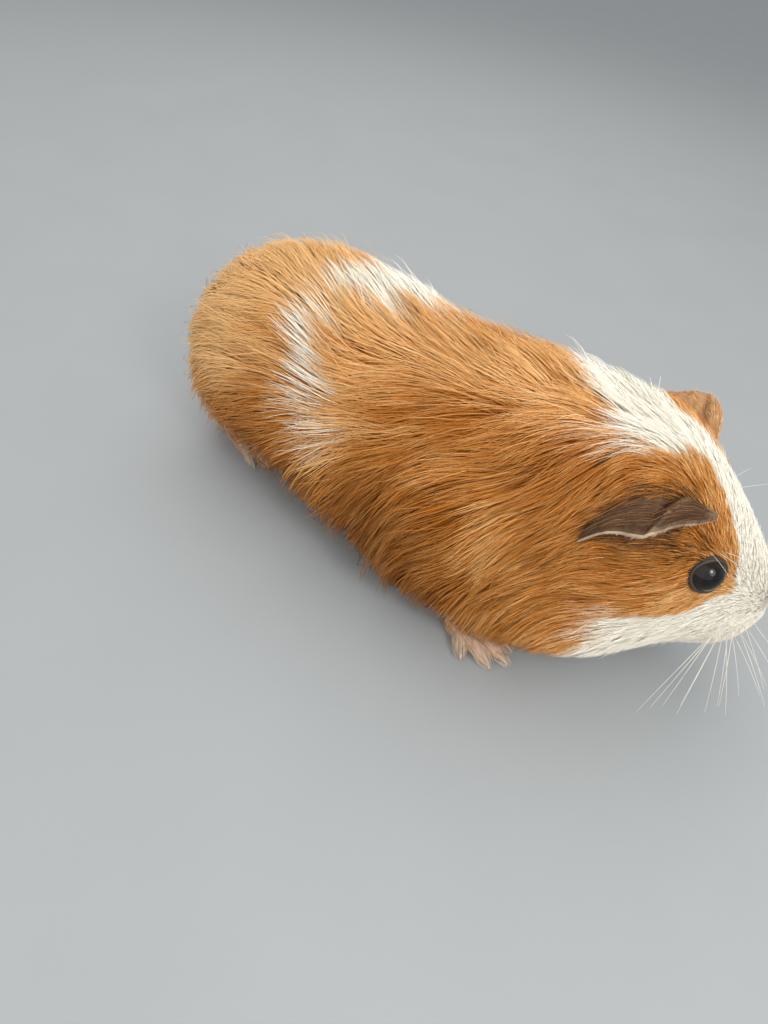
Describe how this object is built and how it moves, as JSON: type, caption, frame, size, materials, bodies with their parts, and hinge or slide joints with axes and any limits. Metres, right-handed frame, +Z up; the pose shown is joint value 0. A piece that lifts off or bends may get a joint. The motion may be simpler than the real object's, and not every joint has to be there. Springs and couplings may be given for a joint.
{
  "type": "guinea pig",
  "caption": "Life-size guinea pig in its coat, walking on all fours with its head turned a little to its left, as a still model that stands on its own soles.",
  "frame": {"origin": "floor level under the middle of the animal's length, width and height box", "axes": "+X towards the nose, +Y towards the animal's left, +Z up; the soles stand at z = 0"},
  "size_m": [0.2047, 0.094, 0.0757],
  "materials": {
    "fur": "short to medium silky fur, orange with white markings",
    "nose_fur": "very short cream fur",
    "ear_skin": "thin bare dark skin",
    "foot_skin": "pink skin with sparse pale hair",
    "eye": "dark and wet looking",
    "claw": "pale translucent horn"
  },
  "bodies": {
    "root": {"nose": "nose_fur", "head": "fur", "neck": "fur", "trunk": "fur", "rump": "fur", "ear_right": "ear_skin", "eye_right": "eye", "foreleg_right": "fur", "hindleg_right": "fur", "forefoot_right": "foot_skin", "hindfoot_right": "foot_skin", "claw_fore_right_1": "claw", "claw_fore_right_2": "claw", "claw_fore_right_3": "claw", "claw_fore_right_4": "claw", "claw_hind_right_1": "claw", "claw_hind_right_2": "claw", "claw_hind_right_3": "claw", "ear_left": "ear_skin", "eye_left": "eye", "foreleg_left": "fur", "hindleg_left": "fur", "forefoot_left": "foot_skin", "hindfoot_left": "foot_skin", "claw_fore_left_1": "claw", "claw_fore_left_2": "claw", "claw_fore_left_3": "claw", "claw_fore_left_4": "claw", "claw_hind_left_1": "claw", "claw_hind_left_2": "claw", "claw_hind_left_3": "claw"}
  },
  "joints": []
}
